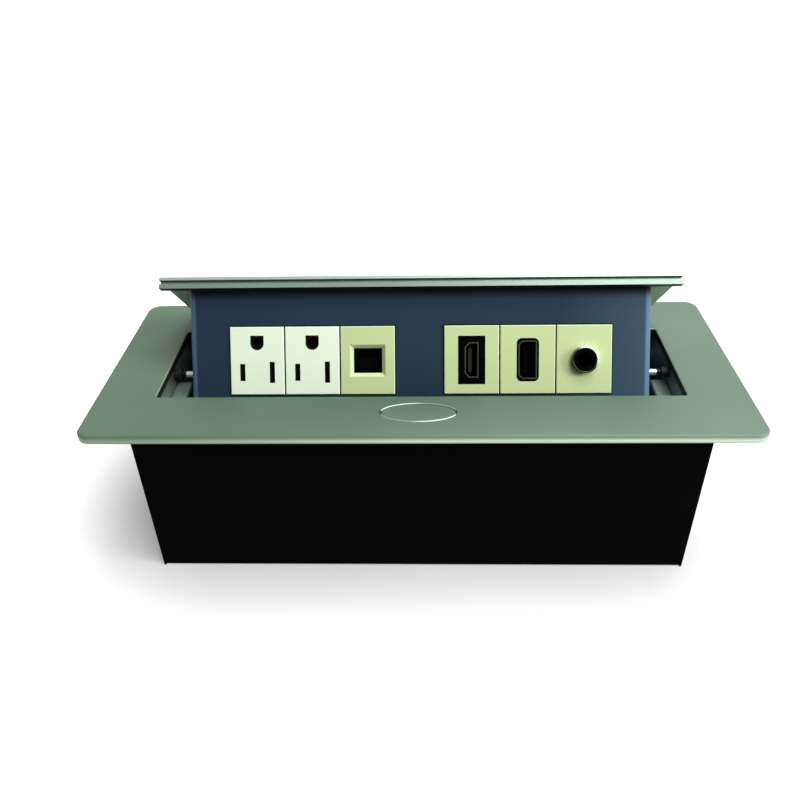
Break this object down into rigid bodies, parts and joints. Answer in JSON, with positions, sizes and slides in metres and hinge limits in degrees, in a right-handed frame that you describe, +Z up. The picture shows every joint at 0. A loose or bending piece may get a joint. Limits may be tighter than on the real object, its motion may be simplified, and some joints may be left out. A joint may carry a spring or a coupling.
{
  "type": "desk connectivity panel",
  "caption": "Tabletop socket box: a sprung cradle with a lid and a row of mains, data, video and audio sockets swings up out of a cover frame at the press of a button.",
  "frame": {"origin": "on the surface that the box stands on, below the middle of the cover frame", "axes": "+X along the long side of the cover frame with the mains outlets on the -X side, +Y from the button towards the hinge, +Z up"},
  "size_m": [0.27, 0.108, 0.1197],
  "materials": {
    "cover_frame": "fine satin",
    "lid": "fine satin",
    "box": "fine matte powder coat",
    "steel": "zinc plated",
    "ledge": "satin",
    "spring_steel": "bright wire and strip",
    "screws": "zinc plated",
    "socket_panel": "satin coat",
    "dark_plastic": "matte",
    "gear_plastic": "smooth",
    "grommet_rubber": "matte",
    "button": "fine satin",
    "outlet_plastic": "smooth off-white",
    "bezel_plastic": "smooth off-white",
    "housing_plastic": "smooth",
    "jack_plastic": "smooth",
    "insert_plastic": "smooth",
    "socket_metal": "nickel plated",
    "contacts": "bright"
  },
  "bodies": {
    "housing": {"top_frame": "cover_frame", "box_shell": "box", "left_end_plate": "box", "right_end_plate": "box", "shell_rivets": "steel", "left_bracket": "steel", "right_bracket": "steel", "left_ledge": "ledge", "right_ledge": "ledge", "left_pivot_pin": "steel", "right_pivot_pin": "steel", "pivot_clips": "spring_steel", "left_guide_pin": "steel", "right_guide_pin": "steel", "guide_spacers": "dark_plastic", "bracket_screws": "screws", "shell_screws": "screws", "guide_screws": "screws", "damper_screws": "screws", "button_guide": "dark_plastic", "latch_leaf": "spring_steel", "latch_rivets": "steel", "damper_body": "dark_plastic", "cable_gland": "dark_plastic", "gland_nut": "dark_plastic", "cable_grommet": "grommet_rubber", "rim_seal": "grommet_rubber"},
    "cradle": {"lid": "lid", "lid_screws": "screws", "socket_panel": "socket_panel", "spring_studs": "steel", "left_torsion_spring": "spring_steel", "right_torsion_spring": "spring_steel", "gear_sector": "gear_plastic", "sector_rivets": "steel", "outlet_1_cover": "outlet_plastic", "outlet_1_housing": "housing_plastic", "outlet_1_contacts": "contacts", "outlet_2_cover": "outlet_plastic", "outlet_2_housing": "housing_plastic", "outlet_2_contacts": "contacts", "terminal_cover": "housing_plastic", "data_frame": "bezel_plastic", "data_jack": "jack_plastic", "data_contacts": "contacts", "video_frame": "bezel_plastic", "video_insert": "insert_plastic", "video_shell": "socket_metal", "video_tongue": "insert_plastic", "display_frame": "bezel_plastic", "display_insert": "insert_plastic", "display_shell": "socket_metal", "display_tongue": "insert_plastic", "audio_frame": "bezel_plastic", "audio_jack": "insert_plastic", "audio_nut": "socket_metal"},
    "button": {"button": "button"},
    "pinion": {"damper_pinion": "gear_plastic"}
  },
  "joints": [
    {"name": "lid_hinge", "type": "hinge", "parent": "housing", "child": "cradle", "pos_m": [0, 0.0385, 0.061], "axis": [1, 0, 0], "range_deg": [0, 43.5], "stiffness_Nm_per_rad": 0.25, "springref_deg": -91.67, "deforming": ["left_torsion_spring", "right_torsion_spring"]},
    {"name": "button_press", "type": "slide", "parent": "housing", "child": "button", "axis": [0, 0, -1], "range_m": [0, 0.0025], "stiffness_N_per_m": 600, "springref_m": -0.001, "deforming": ["latch_leaf"]},
    {"name": "pinion_spin", "type": "hinge", "parent": "housing", "child": "pinion", "pos_m": [0, 0.02818, 0.04626], "axis": [1, 0, 0], "range_deg": [-153, 0]}
  ],
  "couplings": [
    {"joint": "pinion_spin", "follows": "lid_hinge", "ratio": -3.5}
  ]
}
